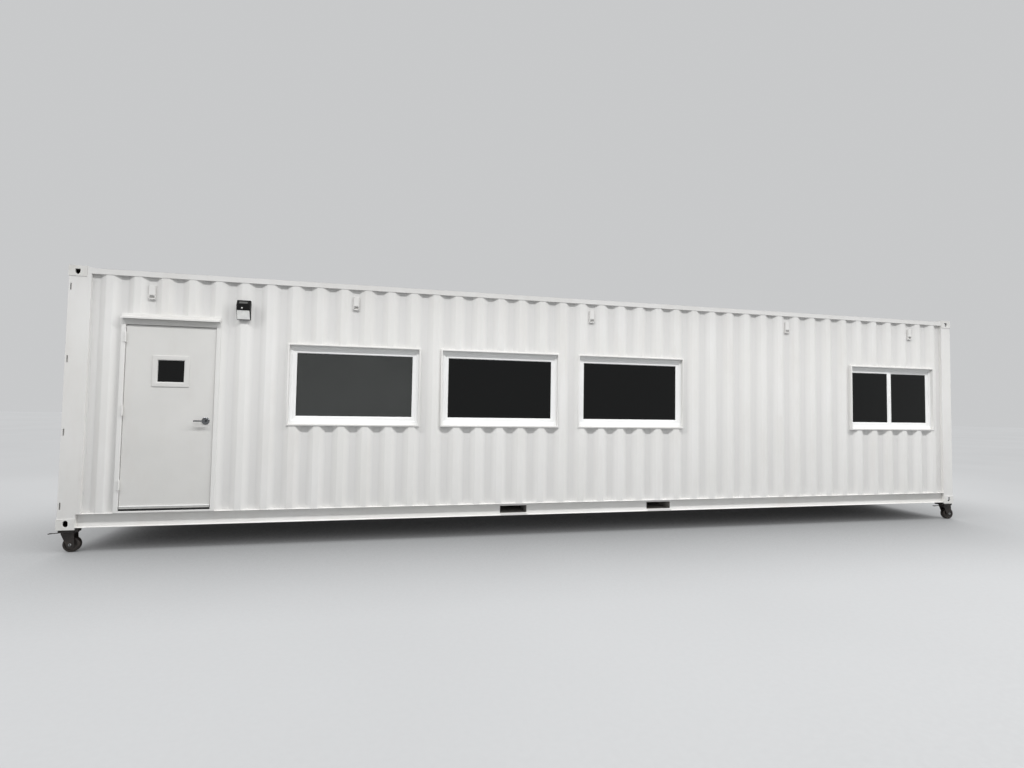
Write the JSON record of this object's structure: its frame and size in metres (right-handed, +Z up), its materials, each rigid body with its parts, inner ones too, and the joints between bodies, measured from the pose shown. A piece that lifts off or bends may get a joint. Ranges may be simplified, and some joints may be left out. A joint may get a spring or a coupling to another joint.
{
  "type": "shipping container cabin",
  "caption": "Site cabin made from a corrugated steel shipping container, with glazed windows, a hinged personnel door and swivel casters.",
  "frame": {"origin": "on the floor, under the middle of the container", "axes": "+X along the length away from the cargo doors, -Y out of the wall with the windows, +Z up"},
  "size_m": [12.3515, 2.503, 3.146],
  "materials": {
    "white_enamel": "semi-gloss white enamel on steel",
    "underframe_paint": "grey paint on steel",
    "galvanised_steel": "zinc-coated, satin",
    "plywood": "sealed plywood",
    "lining_panel": "matt insulated panel",
    "door_enamel": "satin enamel on steel",
    "light_grey_seal": "matt brush and rubber",
    "white_vinyl": "satin extruded vinyl",
    "dark_glass": "clear double glazing",
    "satin_chrome": "polished chrome",
    "black_housing": "black powder coat",
    "clear_lens": "prismatic polycarbonate",
    "black_steel": "black paint on steel",
    "caster_tyre": "dark polyurethane on an iron core"
  },
  "bodies": {
    "cabin": {"corner_castings": "white_enamel", "corner_posts": "white_enamel", "top_side_rails": "white_enamel", "bottom_side_rails": "white_enamel", "end_rails": "white_enamel", "cross_members": "underframe_paint", "fork_pockets": "underframe_paint", "floor_deck": "plywood", "roof_sheet": "white_enamel", "roof_corner_plates": "white_enamel", "front_wall_left": "white_enamel", "front_wall_over_door": "white_enamel", "front_wall_right": "white_enamel", "back_wall": "white_enamel", "end_wall": "white_enamel", "cargo_doors": "white_enamel", "cargo_door_hinges": "white_enamel", "lock_rods": "galvanised_steel", "front_lining_left": "lining_panel", "front_lining_over_door": "lining_panel", "front_lining_right": "lining_panel", "back_lining": "lining_panel", "end_linings": "lining_panel", "ceiling_lining": "lining_panel", "ventilators": "white_enamel", "door_frame": "white_enamel", "drip_cap": "white_enamel", "threshold": "white_enamel", "hinge_frame_halves": "white_enamel", "window_surrounds": "white_enamel", "window_frames": "white_vinyl", "window_glass": "dark_glass", "wall_light_body": "black_housing", "wall_light_lens": "clear_lens", "caster_plates": "black_steel"},
    "door": {"door_leaf": "door_enamel", "door_sweep": "light_grey_seal", "door_light_frame": "door_enamel", "door_light_glass": "dark_glass", "hinge_leaf_halves": "white_enamel", "lever_roses": "satin_chrome"},
    "lever": {"lever_handle": "satin_chrome"},
    "fork_front_left": {"caster_fork_front_left": "black_steel"},
    "wheel_front_left": {"caster_wheel_front_left": "caster_tyre"},
    "fork_front_right": {"caster_fork_front_right": "black_steel"},
    "wheel_front_right": {"caster_wheel_front_right": "caster_tyre"},
    "fork_back_left": {"caster_fork_back_left": "black_steel"},
    "wheel_back_left": {"caster_wheel_back_left": "caster_tyre"},
    "fork_back_right": {"caster_fork_back_right": "black_steel"},
    "wheel_back_right": {"caster_wheel_back_right": "caster_tyre"}
  },
  "joints": [
    {"name": "door_swing", "type": "hinge", "parent": "cabin", "child": "door", "pos_m": [-5.5125, -1.2275, 1.552], "axis": [0, 0, -1], "range_deg": [0, 110]},
    {"name": "lever_turn", "type": "hinge", "parent": "door", "child": "lever", "pos_m": [-4.672, -1.226, 1.443], "axis": [0, -1, 0], "range_deg": [0, 45], "stiffness_Nm_per_rad": 1.5, "springref_deg": -34.38},
    {"name": "swivel_front_left", "type": "hinge", "parent": "cabin", "child": "fork_front_left", "pos_m": [-6.0175, -1.1295, 0.208], "axis": [0, 0, 1], "continuous": true},
    {"name": "roll_front_left", "type": "hinge", "parent": "fork_front_left", "child": "wheel_front_left", "pos_m": [-5.9715, -1.1295, 0.084], "axis": [0, 1, 0], "continuous": true},
    {"name": "swivel_front_right", "type": "hinge", "parent": "cabin", "child": "fork_front_right", "pos_m": [6.0175, -1.1295, 0.208], "axis": [0, 0, 1], "continuous": true},
    {"name": "roll_front_right", "type": "hinge", "parent": "fork_front_right", "child": "wheel_front_right", "pos_m": [6.06325, -1.13431, 0.084], "axis": [0.1045, 0.9945, 0], "continuous": true},
    {"name": "swivel_back_left", "type": "hinge", "parent": "cabin", "child": "fork_back_left", "pos_m": [-6.0175, 1.1295, 0.208], "axis": [0, 0, 1], "continuous": true},
    {"name": "roll_back_left", "type": "hinge", "parent": "fork_back_left", "child": "wheel_back_left", "pos_m": [-5.97307, 1.14141, 0.084], "axis": [-0.2588, 0.9659, 0], "continuous": true},
    {"name": "swivel_back_right", "type": "hinge", "parent": "cabin", "child": "fork_back_right", "pos_m": [6.0175, 1.1295, 0.208], "axis": [0, 0, 1], "continuous": true},
    {"name": "roll_back_right", "type": "hinge", "parent": "fork_back_right", "child": "wheel_back_right", "pos_m": [6.0628, 1.12151, 0.084], "axis": [0.1736, 0.9848, 0], "continuous": true}
  ]
}
